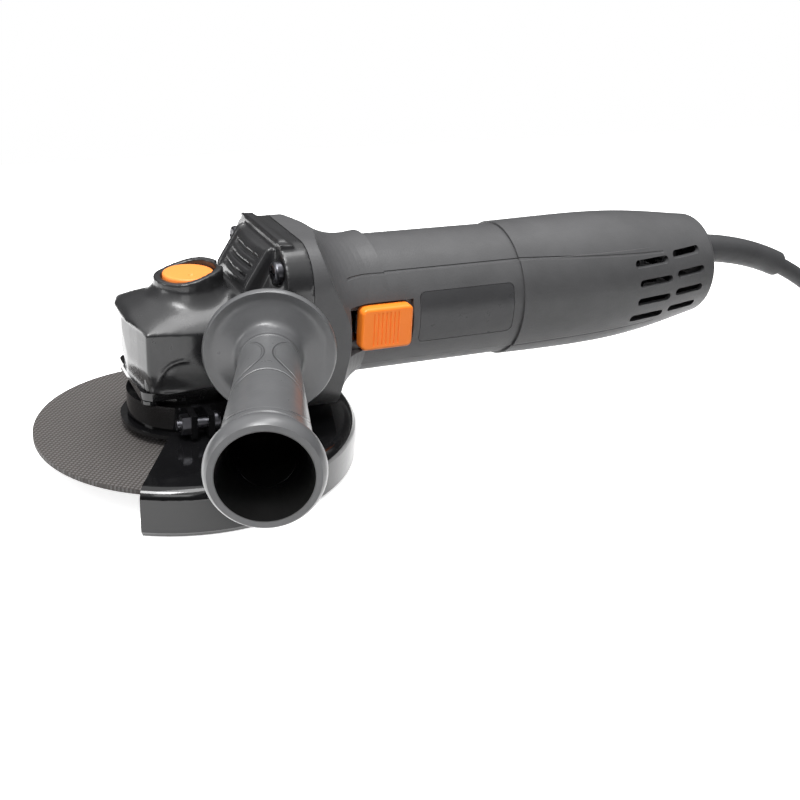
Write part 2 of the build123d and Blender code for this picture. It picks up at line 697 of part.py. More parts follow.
def tail_pads():
    """The flat-sided pads of the motor housing run on over the tail and fade into it."""
    rises = (PAD_RISE, PAD_RISE, 0.45, -0.25)
    sections = [(x, r + rise) for (x, r), rise in zip(TAIL_SECTIONS, rises)]
    band = block(TAIL_SEAM_X, 206.0, -40.0, 40.0, MOTOR_Z - PAD_HALF_Z, MOTOR_Z + PAD_HALF_Z)
    return (tail_loft(sections) & band) - tail_shape(0.8)


def vent_slots():
    """Four rows of two slots through each flank of the tail."""
    slots = []
    for row, shift in enumerate((0.0, 1.3, 1.2, -0.9)):
        z = MOTOR_Z - 11.4 + 8.15 * row
        for x, lift, length, slant in ((199.2, 0.0, 18.6, 1.0), (219.5, 1.7, 16.2, 2.0)):
            slot = extrude(Plane.XZ * SlotOverall(length, 3.3), 40.0, both=True)
            slots.append(Pos(x + shift, 0, z + lift) * Rot(0, -slant, 0) * slot)
    return slots


def boot_hole():
    """The straight way through the tail's end for the boot."""
    x, z = BOOT_START
    return Pos(x, 0, z) * Rot(0, 90 + BOOT_DIP, 0) * Cylinder(BOOT_R + 0.05, 20)


def make_tail_cover():
    hollow = tail_shape(TAIL_WALL) + cyl_x(TAIL_R - TAIL_WALL, TAIL_SEAM_X - 1, TAIL_SEAM_X + 1)
    shell = tail_shape(0.0) + tail_pads() - hollow
    for slot in vent_slots():
        shell -= slot
    shell += clamp_shelf()
    shell -= boot_hole()
    shell -= cyl_z(2.1, MOTOR_Z - 32, MOTOR_Z - 20, 141.0, 0)
    shell -= cyl_z(3.9, MOTOR_Z - 32, MOTOR_Z - 27.4, 141.0, 0)
    return shell


def clamp_shelf():
    """The shelf in the tail that the cord is clamped to."""
    shelf = block(CLAMP_X - 5.0, CLAMP_X + 5.0, -11.0, 11.0, MOTOR_Z - 2.0, MOTOR_Z + 5.2) & tail_shape(1.0)
    wings = block(CLAMP_X - 5.0, CLAMP_X + 5.0, -26.0, 26.0, MOTOR_Z + 1.2, MOTOR_Z + 4.2) & tail_shape(1.0)
    for y in (-7.5, 7.5):
        wings -= cyl_z(1.5, MOTOR_Z - 3, MOTOR_Z + 6, CLAMP_X, y)
        shelf -= cyl_z(1.5, MOTOR_Z - 3, MOTOR_Z + 6, CLAMP_X, y)
    groove = cord_start_line(CORD_R + 0.02)
    return shelf + wings - groove


def make_tail_screw():
    return Pos(141.0, 0, MOTOR_Z - 27.4) * Rot(180, 0, 0) * screw(3.7, 2.2, 1.88, 6.0)


# ---------- cord, boot and plug ----------
def boot_arc():
    """The drooping centre line of the boot, in the plane of the motor axis."""
    x0, z0 = BOOT_START
    end_dip = BOOT_DIP + BOOT_LENGTH / BOOT_BEND_R * 180 / pi
    mid_dip = (BOOT_DIP + end_dip) / 2

    def place(dip):
        x = x0 + BOOT_BEND_R * (sin(radians(dip)) - sin(radians(BOOT_DIP)))
        z = z0 - BOOT_BEND_R * (cos(radians(BOOT_DIP)) - cos(radians(dip)))
        return (x, 0, z)

    return ThreePointArc(place(BOOT_DIP), place(mid_dip), place(end_dip))


def cord_start_line(r):
    """The straight stretch of cord inside the tail."""
    x, z = BOOT_START
    return Pos(x, 0, z) * Rot(0, 90 + BOOT_DIP, 0) * Pos(0, 0, -12) * Cylinder(r, 24)


def make_cord_boot():
    path = boot_arc()
    first = Plane(origin=path @ 0, z_dir=path % 0) * Circle(BOOT_R)
    last = Plane(origin=path @ 1, z_dir=path % 1) * Circle(BOOT_TIP_R)
    boot = sweep([first, last], path=path, multisection=True)
    x, z = BOOT_START
    root = Pos(x, 0, z) * Rot(0, 90 + BOOT_DIP, 0)
    boot += root * cyl_z(BOOT_R, -6.5, 0.0)
    boot += root * cyl_z(6.8, -6.5, -5.0)
    boot -= sweep(Plane(origin=path @ 0, z_dir=path % 0) * Circle(CORD_R), path)
    return boot - cord_start_line(CORD_R)


def make_cord_inner():
    path = boot_arc()
    return sweep(Plane(origin=path @ 0, z_dir=path % 0) * Circle(CORD_R), path) + cord_start_line(CORD_R)


def make_cord_clamp():
    top = MOTOR_Z + 13.6
    clamp = block(CLAMP_X - 3.5, CLAMP_X + 3.5, -11.0, 11.0, MOTOR_Z + 6.2, top) & tail_shape(TAIL_WALL + 0.6)
    clamp -= cord_start_line(CORD_R)
    for y in (-7.5, 7.5):
        clamp -= cyl_z(1.6, MOTOR_Z, top + 5, CLAMP_X, y)
        clamp -= cyl_z(3.3, MOTOR_Z + 9.5, top + 5, CLAMP_X, y)
    return clamp


def make_clamp_screws():
    return [Pos(CLAMP_X, y, MOTOR_Z + 9.5) * screw(3.0, 2.0, 1.5, 10.0) for y in (-7.5, 7.5)]


def tube(points, r):
    """A cord of one radius along a route of straight runs joined by tangent arcs."""
    places = [Vector(*p) for p in points]
    runs = [b - a for a, b in zip(places, places[1:])]
    radii = []
    for before, after in zip(runs, runs[1:]):
        turn = radians(before.get_angle(after))
        radii.append(0.45 * min(before.length, after.length) / tan(turn / 2))
    path = FilletPolyline(*points, radius=radii)
    solid = sweep(Plane(origin=path @ 0, z_dir=path % 0) * Circle(r), path)
    ideal = pi * r * r * path.length
    print("cord radii", [round(v) for v in radii], "length", round(path.length, 1),
          "volume ratio", round(solid.volume / ideal, 4))
    return solid


def lead_points():
    """From the boot's tip down to the floor and into the coil."""
    lay = FLOOR_Z + CORD_R + 0.1
    start = boot_arc() @ 1
    return [
        (start.X, 0.0, start.Z),
        (306.6, 0.0, 31.9),
        (334.0, 0.3, 13.2),
        (358.0, 1.2, -1.9),
        (382.0, 4.2, lay),
        (405.0, COIL_Y + COIL_LAYER_R[-1], lay),
    ]


def tail_points():
    """From the coil's upper layer down to the plug."""
    upper = FLOOR_Z + 3 * CORD_R + 0.1
    edge = COIL_X + COIL_LAYER_R[-1]
    return [
        (edge, COIL_Y, upper),
        (edge + 1.5, COIL_Y - 24.0, upper - 1.2),
        (edge + 5.5, COIL_Y - 47.0, PLUG_Z),
        (edge + 8.0, COIL_Y - 70.0, PLUG_Z),
    ]


def make_cord_coil():
    low, high = COIL_LAYER_R[0] - CORD_R, COIL_LAYER_R[-1] + CORD_R
    height = 4 * CORD_R + 0.2
    ring = Cylinder(high, height) - Cylinder(low, height + 2)
    ring = fillet(ring.edges(), 3.5)
    return Pos(COIL_X, COIL_Y, FLOOR_Z + height / 2) * ring


def plug_place():
    """Where the plug starts, with Z along the end of the cord and its wide side level."""
    before, last = [Vector(*p) for p in tail_points()[-2:]]
    away = (last - before).normalized()
    return Plane(origin=last, x_dir=away.cross(Vector(0, 0, 1)), z_dir=away).location


def make_plug_body():
    neck = Cone(5.0, 7.0, 20.0, align=(Align.CENTER, Align.CENTER, Align.MIN))
    body = Pos(0, 0, 38.0) * Box(35.0, 18.0, 36.0)
    body = fillet(body.edges(), 4.5)
    solid = neck + body
    for side in (-1, 1):
        solid -= cyl_z(2.4, 46.0, 57.0, side * 9.5, 0)
    return plug_place() * solid


def make_plug_pins():
    pins = []
    for side in (-1, 1):
        pin = cyl_z(2.4, 46.0, 75.0, side * 9.5, 0)
        pins.append(plug_place() * fillet(pin.edges().group_by(Axis.Z)[-1], 1.2))
    return pins


# ---------- side handle ----------
def make_side_handle():
    """A hollow grip with a hand guard, turned about its own axis."""
    neck_r, guard_r = 10.6, 24.1
    rim = HANDLE_END
    start = HANDLE_START
    outline = Polyline((0, start), (12.0, start), (12.0, 37.5), (13.5, 38.6), (22.0, 40.4), (23.6, 41.2))
    edge = ThreePointArc((23.6, 41.2), (guard_r, 42.8), (23.4, 44.4))
    dish = Spline((23.4, 44.4), (20.5, 43.9), (15.5, 45.2), (neck_r + 0.4, 51.0), tangents=[(-1, -0.1), (-0.1, 1)])
    grip = Spline((neck_r + 0.4, 51.0), (11.2, 62.0), (12.8, 90.0), (14.3, 114.0), (14.9, 123.0),
                  tangents=[(-0.05, 1), (0.06, 1)])
    bead = Polyline((14.9, 123.0), (14.3, 124.2), (14.3, 126.4), (15.2, 127.4))
    lip = ThreePointArc((15.2, 127.4), (18.16, 132.6), (16.6, rim))
    bore = Polyline((16.6, rim), (14.5, rim), (11.9, 122.0), (8.6, 72.0), (0, 70.0), (0, start))
    face = make_face(outline + edge + dish + grip + bead + lip + bore)
    turned = revolve(Plane.XZ * face, Axis.Z)
    lean = Rot(0, 0, -HANDLE_LEAN)
    place = Pos(HANDLE_ROOT_X, 0, MOTOR_Z) * lean * Rot(90, 0, 0)
    return place * (turned - cyl_z(STUD_R, 29.0, 60.0))


def make_handle_stud():
    return along_handle(STUD_R, STUD_START, 60.0)


# ---------- wiring ----------
def make_internal_leads():
    """The two insulated leads from the switch to the brush holders."""
    leads = []
    for side in (-1, 1):
        z = MOTOR_Z + side * 17.5
        path = Polyline((124.5, 10.0, z), (150.0, 12.0, z), (173.0, 4.0, MOTOR_Z + side * 5.0))
        start = Plane(origin=path @ 0, z_dir=path % 0)
        leads.append(sweep(start * Circle(1.1), path, transition=Transition.ROUND))
    return leads


# ---------- every sub-part ----------
def head_bearing_front():
    return along_x(bearing(11.0, SHAFT_R, 7.0), 27.1)


def rear_bearing():
    return along_x(bearing(9.5, 3.5, 6.0), 137.5)


def spindle_bearing():
    return Pos(0, 0, BEARING_Z) * bearing(16.0, JOURNAL_R, 10.0)


makers = {
    "gear_housing": make_gear_housing,
    "bearing_box": make_bearing_box,
    "bearing_box_screws": make_bearing_box_screws,
    "gear_housing_screws": make_head_screws,
    "spindle_bearing": spindle_bearing,
    "spindle_top_bush": make_top_bush,
    "spindle": make_spindle,
    "crown_gear": make_crown_gear,
    "inner_flange": make_inner_flange,
    "cutting_disc": make_cutting_disc,
    "lock_nut": make_lock_nut,
    "guard": make_guard,
    "guard_band": make_guard_band,
    "guard_clamp_screw": make_clamp_screw,
    "guard_clamp_nut": make_clamp_nut,
    "lock_button": make_lock_button,
    "lock_pin": make_lock_pin,
    "lock_pin_clip": make_lock_clip,
    "lock_spring": make_lock_spring,
    "pinion": make_pinion,
    "pinion_nut": make_pinion_nut,
    "armature_shaft": make_armature_shaft,
    "armature_core": make_armature_core,
    "armature_winding": make_armature_winding,
    "commutator": make_commutator,
    "cooling_fan": make_fan,
    "fan_baffle": make_fan_baffle,
    "front_bearing": head_bearing_front,
    "rear_bearing": rear_bearing,
    "stator_core": make_stator_core,
    "field_coils": make_field_coils,
    "brush_holders": make_brush_holders,
    "carbon_brushes": make_carbon_brushes,
    "brush_springs": make_brush_springs,
    "field_case": make_field_case,
    "label_plate": make_label_plate,
    "slide_button": make_slide_button,
    "switch_rod": make_switch_rod,
    "switch_body": make_switch_body,
    "capacitor": make_capacitor,
    "internal_leads": make_internal_leads,
    "tail_cover": make_tail_cover,
    "tail_cover_screw": make_tail_screw,
    "cord_clamp": make_cord_clamp,
    "cord_clamp_screws": make_clamp_screws,
    "cord_boot": make_cord_boot,
    "cord_inner": make_cord_inner,
    "cord_lead": lambda: tube(lead_points(), CORD_R),
    "cord_coil": make_cord_coil,
    "cord_end": lambda: tube(tail_points(), CORD_R),
    "plug_body": make_plug_body,
    "plug_pins": make_plug_pins,
    "side_handle": make_side_handle,
    "handle_stud": make_handle_stud,
}

os.makedirs("parts", exist_ok=True)
lift = Pos(0, 0, -SPINDLE_TIP_Z)
for name, maker in makers.items():
    made = maker()
    if isinstance(made, list):
        shape = Compound(children=[lift * solid for solid in made])
    else:
        shape = lift * made
    shape.label = name
    export_step(shape, "parts/" + name + ".step")
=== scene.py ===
import bmesh
import bpy
import math
import numpy as np
from mathutils import Matrix, Vector


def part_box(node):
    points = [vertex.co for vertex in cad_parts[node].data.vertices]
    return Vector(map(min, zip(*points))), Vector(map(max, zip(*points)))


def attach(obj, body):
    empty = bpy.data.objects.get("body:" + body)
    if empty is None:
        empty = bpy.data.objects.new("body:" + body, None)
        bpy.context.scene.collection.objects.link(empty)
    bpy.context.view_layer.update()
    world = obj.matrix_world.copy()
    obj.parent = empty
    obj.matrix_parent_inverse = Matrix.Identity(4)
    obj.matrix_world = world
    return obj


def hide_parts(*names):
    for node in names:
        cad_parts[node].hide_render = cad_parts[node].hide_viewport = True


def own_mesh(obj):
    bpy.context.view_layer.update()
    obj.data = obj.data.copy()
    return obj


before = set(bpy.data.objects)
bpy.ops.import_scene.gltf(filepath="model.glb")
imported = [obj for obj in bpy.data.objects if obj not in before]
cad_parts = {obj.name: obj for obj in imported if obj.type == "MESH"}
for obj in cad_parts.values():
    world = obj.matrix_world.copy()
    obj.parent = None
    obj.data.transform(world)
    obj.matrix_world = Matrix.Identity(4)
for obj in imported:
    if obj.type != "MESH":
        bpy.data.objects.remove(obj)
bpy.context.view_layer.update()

# Heights above the spindle's tip, in millimetres.
MOTOR_Z = 54.6
FLOOR_Z = -0.5


def mm(x, y, z):
    """A point given in millimetres."""
    return Vector((x, y, z)) / 1000


def placed(name, data):
    """A new object in the scene."""
    obj = bpy.data.objects.new(name, data)
    bpy.context.scene.collection.objects.link(obj)
    return obj


# ---------- camera ----------
CAMERA_AT = (-105.53, -402.66, 211.74)      # millimetres
CAMERA_ANGLES = (26.36, 24.42, 3.105)       # azimuth, elevation and roll in degrees
CAMERA_SENSOR = 36.0
CAMERA_LENS = 51.75


def make_camera():
    """A camera above the side handle, turned towards the tail and rolled a little."""
    azimuth, elevation, roll = (math.radians(angle) for angle in CAMERA_ANGLES)
    ahead = Vector((math.sin(azimuth) * math.cos(elevation),
                    math.cos(azimuth) * math.cos(elevation),
                    -math.sin(elevation)))
    level = Vector((math.cos(azimuth), -math.sin(azimuth), 0.0))
    up = level.cross(ahead)
    right = level * math.cos(roll) + up * math.sin(roll)
    up = right.cross(ahead)
    data = bpy.data.cameras.new("camera")
    data.sensor_width = CAMERA_SENSOR
    data.lens = CAMERA_LENS
    data.clip_start = 0.01
    camera = placed("camera", data)
    turn = Matrix((right, up, -ahead)).transposed()
    camera.matrix_world = Matrix.Translation(mm(*CAMERA_AT)) @ turn.to_4x4()
    bpy.context.scene.camera = camera


make_camera()


# ---------- cord ----------
CORD_R = 4.0
COIL_X, COIL_Y = 405.0, -50.0
LOW_Z = FLOOR_Z + CORD_R + 0.1
HIGH_Z = LOW_Z + 2 * CORD_R
COIL_R = (57.0, 49.0, 41.0, 33.0)
PER_TURN = 24
COIL_POINTS = 7 * PER_TURN + PER_TURN // 4      # seven turns and a quarter
PLUG_Z = 8.7


def step(f, start, end):
    """0 before start, 1 after end, and smooth between them."""
    t = min(1.0, max(0.0, (f - start) / (end - start)))
    return t * t * (3 - 2 * t)


def coil_points():
    """Four turns inwards on the floor, then back outwards on top of them."""
    points = []
    for i in range(1, COIL_POINTS + 1):
        turn, f = divmod(i / PER_TURN, 1.0)
        turn = int(turn)
        z = LOW_Z
        if turn < 3:
            r = COIL_R[turn] + (COIL_R[turn + 1] - COIL_R[turn]) * step(f, 0.80, 1.0)
        elif turn == 3:
            r = COIL_R[3]
            z = LOW_Z + (HIGH_Z - LOW_Z) * step(f, 0.55, 0.78)
        else:
            r = COIL_R[7 - turn] + (COIL_R[max(0, 6 - turn)] - COIL_R[7 - turn]) * step(f, 0.33, 0.53)
            z = HIGH_Z
        angle = math.pi / 2 - 2 * math.pi * i / PER_TURN
        points.append(mm(COIL_X + r * math.cos(angle), COIL_Y + r * math.sin(angle), z))
    return points


def cord_route():
    """From the boot's tip down to the floor, round the coil, and on to the plug."""
    lead = [(291.86, 0.0, 51.09), (306.6, 0.0, 44.7), (334.0, 0.3, 26.0), (358.0, 1.2, 10.9),
            (382.0, 4.2, LOW_Z), (405.0, 7.0, LOW_Z)]
    end = [(463.5, -74.0, HIGH_Z - 1.2), (467.5, -97.0, PLUG_Z), (470.0, -120.0, PLUG_Z)]
    return [mm(*p) for p in lead] + coil_points() + [mm(*p) for p in end]


def make_cord():
    """The whole cord as one tube: each point's radius sets the thickness, in metres."""
    curve = bpy.data.curves.new("cord", "CURVE")
    curve.dimensions = "3D"
    curve.resolution_u = 8
    curve.bevel_depth = 1.0
    curve.bevel_resolution = 8
    curve.use_fill_caps = True
    spline = curve.splines.new("NURBS")
    points = cord_route()
    spline.points.add(len(points) - 1)
    for place, point in zip(spline.points, points):
        place.co = (*point, 1.0)
        place.radius = CORD_R / 1000
    spline.order_u = 3
    spline.use_endpoint_u = True
    cord = placed("cord", curve)
    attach(cord, "housing")
    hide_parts("cord_lead", "cord_coil", "cord_end")


make_cord()


# ---------- gear head ----------
FLANK_Y = 24.5
FOOT_Z = 36.2
BRIM_Z = 57.4
BOSS_X = 3.0
BOSS_FOOT_Z = 70.0
VOXEL = 0.5
KEPT_FACES = 0.45
RIDGE_X = (-27.0, -24.0, -21.0, -15.4, -9.8, 0.0, 14.0)
RIDGE_Z = (58.0, 61.4, 63.4, 65.4, 66.6, 67.4, 68.4)

# Outlines added to the CAD head: (x, y) for the brim, (radius, z) for the boss, (x, z) for the rest.
BRIM_CORNER = ((-10.0, 24.9), (-20.0, 24.0), (-23.0, 10.0), (-18.0, 10.0))
BOSS_RING = ((10.2, 67.0), (10.2, 77.4), (12.6, 77.4), (14.6, 67.0))
LOUVRE_WALL = ((18.6, 66.0), (19.2, 71.3), (27.9, 85.3), (30.0, 86.5), (30.0, 66.0))
RIB_END = ((31.0, 83.6), (31.0, 88.6), (36.0, 88.2), (36.0, 83.6))
SLAT = ((-0.71, -1.15), (0.71, 1.15), (2.41, 0.09), (0.99, -2.21))
SLAT_SHARES = (0.09, 0.35, 0.61, 0.87)      # places along the louvre block's slope


def ease(value, start, end):
    """The same smooth step as in step(), for arrays."""
    t = np.clip((value - start) / (end - start), 0.0, 1.0)
    return t * t * (3 - 2 * t)


def add_prism(bm, outline, low, high, axis="z"):
    """A closed prism over an outline, between two places along the axis."""
    rings = []
    for place in (low, high):
        if axis == "z":
            rings.append([bm.verts.new(mm(u, v, place)) for u, v in outline])
        else:
            rings.append([bm.verts.new(mm(u, place, v)) for u, v in outline])
    bm.faces.new(rings[0])
    bm.faces.new(reversed(rings[1]))
    count = len(outline)
    for i in range(count):
        j = (i + 1) % count
        bm.faces.new((rings[0][j], rings[0][i], rings[1][i], rings[1][j]))


def add_ring(bm, profile, x, y, sides=72):
    """A closed ring turned about a vertical line; the profile is (radius, height)."""
    rings = []
    for i in range(sides):
        angle = 2 * math.pi * i / sides
        rings.append([bm.verts.new(mm(x + r * math.cos(angle), y + r * math.sin(angle), z))
                      for r, z in profile])
    count = len(profile)
    for i in range(sides):
        here, after = rings[i], rings[(i + 1) % sides]
        for k in range(count):
            n = (k + 1) % count
            bm.faces.new((here[k], after[k], after[n], here[n]))


def remeshed(mesh, voxel):
    """The mesh rebuilt as one skin on a fine grid."""
    obj = placed("remesh", mesh)
    modifier = obj.modifiers.new("remesh", "REMESH")
    modifier.mode = "VOXEL"
    modifier.voxel_size = voxel / 1000
    graph = bpy.context.evaluated_depsgraph_get()
    result = bpy.data.meshes.new_from_object(obj.evaluated_get(graph))
    bpy.data.objects.remove(obj)
    return result


def coordinates(mesh):
    """The vertices in millimetres, as an array."""
    flat = np.empty(len(mesh.vertices) * 3)
    mesh.vertices.foreach_get("co", flat)
    return flat.reshape(-1, 3) * 1000


def move_to(mesh, points):
    """Puts the vertices at the points, given in millimetres."""
    mesh.vertices.foreach_set("co", (points / 1000).ravel())
    mesh.update()


def relax(mesh, weights, passes):
    """Evens the surface out, more where the weights are higher."""
    edges = np.empty(len(mesh.edges) * 2, dtype=np.int64)
    mesh.edges.foreach_get("vertices", edges)
    edges = edges.reshape(-1, 2)
    points = coordinates(mesh)
    count = np.bincount(edges.ravel(), minlength=len(points)).astype(float)
    for _ in range(passes):
        total = np.empty_like(points)
        for k in range(3):
            total[:, k] = (np.bincount(edges[:, 0], points[edges[:, 1], k], len(points))
                           + np.bincount(edges[:, 1], points[edges[:, 0], k], len(points)))
        mean = total / np.maximum(count, 1.0)[:, None]
        points += (mean - points) * weights[:, None]
    move_to(mesh, points)


def roof_height(x, y):
    """The cast roof: it falls away to the brim on all sides and curves up to the button's boss."""
    ridge = np.interp(x, RIDGE_X, RIDGE_Z)
    side = np.clip(np.abs(y) / (FLANK_Y + 0.9), 0.0, 1.0) ** 2.6
    roof = BRIM_Z + (ridge - BRIM_Z) * (1 - side)
    r = np.hypot(x - BOSS_X, y)
    lift = np.clip((17.5 - r) / 4.5, 0.0, 1.0) ** 2.2
    return roof + (BOSS_FOOT_Z - roof) * lift


def boss_height(x):
    """The top of the button's boss: low at the nose and high at the tail."""
    return 72.8 + 3.6 * ease(x, -6.0, 14.0)


def nose_x(y, z):
    """How far the head reaches forward: a blunt nose that leans back towards its foot."""
    nose = np.interp(np.abs(y), (0.0, 8.0, 15.0, 22.6, 26.0), (-22.9, -21.8, -20.6, -18.9, -17.0))
    return nose + 1.6 * (1 - ease(z, 36.0, 46.0))


def flank_y(x, z):
    """How far the head reaches sideways: the flanks close in a little towards the nose and the foot."""
    flank = np.interp(x, (-20.0, -8.0, 4.0, 14.0), (22.4, 23.9, 24.7, 25.2))
    return flank - 1.2 * (1 - ease(z, 36.0, 44.0))


def arc_ridge(x, z):
    """A thin raised arc on the lower part of each flank."""
    radius = np.hypot(x + 6.5, z - 40.0)
    ridge = 1 - ease(np.abs(radius - 8.4), 0.2, 0.8)
    return ridge * ease(z, 38.0, 40.0) * (1 - ease(x, -6.0, -3.0))


def rough_head():
    """The CAD head with blocks added for the brim's corners, the boss, the louvres and the rib."""
    bm = bmesh.new()
    bm.from_mesh(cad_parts["gear_housing"].data)
    for side in (-1, 1):
        corner = [(x, side * y) for x, y in BRIM_CORNER]
        add_prism(bm, corner[::side], FOOT_Z, BRIM_Z)
        add_prism(bm, LOUVRE_WALL, *sorted((side * 15.8, side * 17.6)), axis="y")
        add_prism(bm, RIB_END, *sorted((side * 19.0, side * 23.2)), axis="y")
    for share in SLAT_SHARES:
        x, z = 20.0 + 8.7 * share, 70.8 + 14.0 * share
        add_prism(bm, [(x + u, z + v) for u, v in SLAT], -14.0, 14.0, axis="y")
    add_ring(bm, BOSS_RING, BOSS_X, 0.0)
    bmesh.ops.recalc_face_normals(bm, faces=bm.faces)
    mesh = bpy.data.meshes.new("gear_head_rough")
    bm.to_mesh(mesh)
    bm.free()
    return mesh


def shape_head(mesh):
    """Cuts the roof, boss, nose and flanks to shape."""
    points = coordinates(mesh)
    # Views of the points, so they follow every move and the order of the moves matters.
    x, y, z = points.T
    r = np.hypot(x - BOSS_X, y)
    cut = (1 - ease(x, 14.0, 18.0)) * (np.abs(y) < FLANK_Y + 1.6) * (r > 13.0)
    roof = roof_height(x, y)
    points[:, 2] = np.where((z > roof) & (cut > 0), z + (roof - z) * cut, z)
    z = points[:, 2]
    boss = (r <= 15.5) & (z > boss_height(x))
    points[:, 2] = np.where(boss, boss_height(x), z)
    bulge = (1 - np.clip(np.abs(y) / 18.0, 0, 1) ** 2) * ease(z, 69.0, 74.0) * (1 - ease(x, 27.5, 31.0))
    points[:, 0] -= np.where((x > 15.5) & (np.abs(y) < 18.5), 2.0 * bulge, 0.0)
    outer = (x < 14.0) & (z > 35.6) & (z < 60.0)
    points[:, 0] = np.where(outer, np.maximum(points[:, 0], nose_x(y, z)), points[:, 0])
    limit = flank_y(x, z)
    points[:, 1] = np.where(outer & (np.abs(y) > limit), np.sign(y) * limit, points[:, 1])
    ridge = arc_ridge(x, z) * (np.abs(points[:, 1]) > limit - 0.6) * outer
    points[:, 1] += np.sign(y) * 0.45 * ridge
    move_to(mesh, points)


def soften_head(mesh):
    """Evens out the whole head a little, and its roof and foot more."""
    x, y, z = coordinates(mesh).T
    off_boss = ease(np.hypot(x - BOSS_X, y), 13.5, 15.5)
    roof_zone = ease(z, 58.5, 61.0) * (1 - ease(x, 13.0, 17.0)) * off_boss
    foot_zone = (1 - ease(z, 40.0, 44.0)) * (1 - ease(x, 8.0, 14.0))
    relax(mesh, 0.25 + 0.5 * np.maximum(roof_zone, foot_zone), 5)
    relax(mesh, 0.6 * roof_zone, 14)


def make_gear_head():
    """The cast gear head: smooth roof, brim, boss, louvre block, rib and embossed flanks."""
    mesh = remeshed(rough_head(), VOXEL)
    shape_head(mesh)
    mesh = remeshed(mesh, VOXEL)
    soften_head(mesh)
    head = placed("gear_head", mesh)
    thin = head.modifiers.new("fewer faces", "DECIMATE")
    thin.ratio = KEPT_FACES
    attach(head, "housing")
    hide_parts("gear_housing")


make_gear_head()


def make_return_spring():
    """The lock button's spring, copied from the CAD part and hung on the housing."""
    spring = placed("return_spring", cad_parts["lock_spring"].data.copy())
    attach(spring, "housing")
    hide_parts("lock_spring")
    low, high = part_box("lock_spring")
    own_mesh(spring)


make_return_spring()


# ---------- materials ----------
MIX_A, MIX_B, MIX_RESULT = 6, 7, 2      # the colour sockets of a Mix node


class Mat:
    """A material made of nodes, in the object's own coordinates, in metres."""

    def __init__(self, name):
        self.material = bpy.data.materials.new(name)
        self.material.use_nodes = True
        self.tree = self.material.node_tree
        self.tree.nodes.clear()
        out = self.add("ShaderNodeOutputMaterial")
        self.shader = self.add("ShaderNodeBsdfPrincipled")
        self.link(self.shader.outputs[0], out.inputs["Surface"])
        self.place = self.add("ShaderNodeTexCoord").outputs["Object"]
        self.height = None

    def add(self, kind, **settings):
        """A new node with these settings."""
        node = self.tree.nodes.new(kind)
        for key, value in settings.items():
            setattr(node, key, value)
        return node

    def link(self, source, target):
        self.tree.links.new(source, target)

    def set(self, **values):
        """Sets the shader's own sockets; an underscore stands for a space."""
        for key, value in values.items():
            name = key.replace("_", " ")
            self.shader.inputs[name].default_value = value

    def stretched(self, scale):
        """The coordinates, scaled differently along each axis."""
        node = self.add("ShaderNodeMapping")
        node.inputs["Scale"].default_value = scale
        self.link(self.place, node.inputs["Vector"])
        return node.outputs["Vector"]

    def noise(self, scale, detail=2.0, rough=0.5, at=None):
        node = self.add("ShaderNodeTexNoise")
        node.inputs["Scale"].default_value = scale
        node.inputs["Detail"].default_value = detail
        node.inputs["Roughness"].default_value = rough
        self.link(at or self.place, node.inputs["Vector"])
        return node.outputs["Fac"]

    def cells(self, scale):
        node = self.add("ShaderNodeTexVoronoi", feature="F1")
        node.inputs["Scale"].default_value = scale
        self.link(self.place, node.inputs["Vector"])
        return node.outputs["Distance"]

    def math(self, kind, a, b=None):
        """One calculation; a and b are sockets or numbers."""
        node = self.add("ShaderNodeMath", operation=kind)
        for socket, value in zip(node.inputs, (a, b)):
            if value is None:
                continue
            if isinstance(value, (int, float)):
                socket.default_value = value
            else:
                self.link(value, socket)
        return node.outputs[0]

    def spread(self, value, low, high, to_low=0.0, to_high=1.0):
        """The value mapped from low..high to to_low..to_high, and held at the ends."""
        node = self.add("ShaderNodeMapRange", clamp=True)
        self.link(value, node.inputs["Value"])
        sockets = ("From Min", "From Max", "To Min", "To Max")
        for key, number in zip(sockets, (low, high, to_low, to_high)):
            node.inputs[key].default_value = number
        return node.outputs["Result"]

    def ramp(self, value, *stops):
        """A colour ramp from (position, colour) stops."""
        node = self.add("ShaderNodeValToRGB")
        ramp = node.color_ramp
        while len(ramp.elements) < len(stops):
            ramp.elements.new(0.5)
        for element, (place, colour) in zip(ramp.elements, stops):
            element.position = place
            element.color = (*colour, 1.0)
        self.link(value, node.inputs["Fac"])
        return node.outputs["Color"]

    def mix(self, value, a, b):
        """Colour a where the value is 0 and b where it is 1."""
        node = self.add("ShaderNodeMix", data_type="RGBA")
        self.link(value, node.inputs["Factor"])
        for socket, source in ((node.inputs[MIX_A], a), (node.inputs[MIX_B], b)):
            if isinstance(source, tuple):
                socket.default_value = (*source, 1.0)
            else:
                self.link(source, socket)
        return node.outputs[MIX_RESULT]

    def colour(self, source):
        self.link(source, self.shader.inputs["Base Color"])

    def rough(self, source):
        self.link(source, self.shader.inputs["Roughness"])

    def bump(self, source, distance):
        """Adds a layer of bump of that height in metres."""
        node = self.add("ShaderNodeBump")
        node.inputs["Strength"].default_value = 1.0
        node.inputs["Distance"].default_value = distance
        self.link(source, node.inputs["Height"])
        if self.height is not None:
            self.link(self.height, node.inputs["Normal"])
        self.height = node.outputs["Normal"]
        self.link(self.height, self.shader.inputs["Normal"])


def shade(colour, by):
    """The colour made darker or lighter by a factor."""
    return tuple(min(1.0, c * by) for c in colour)


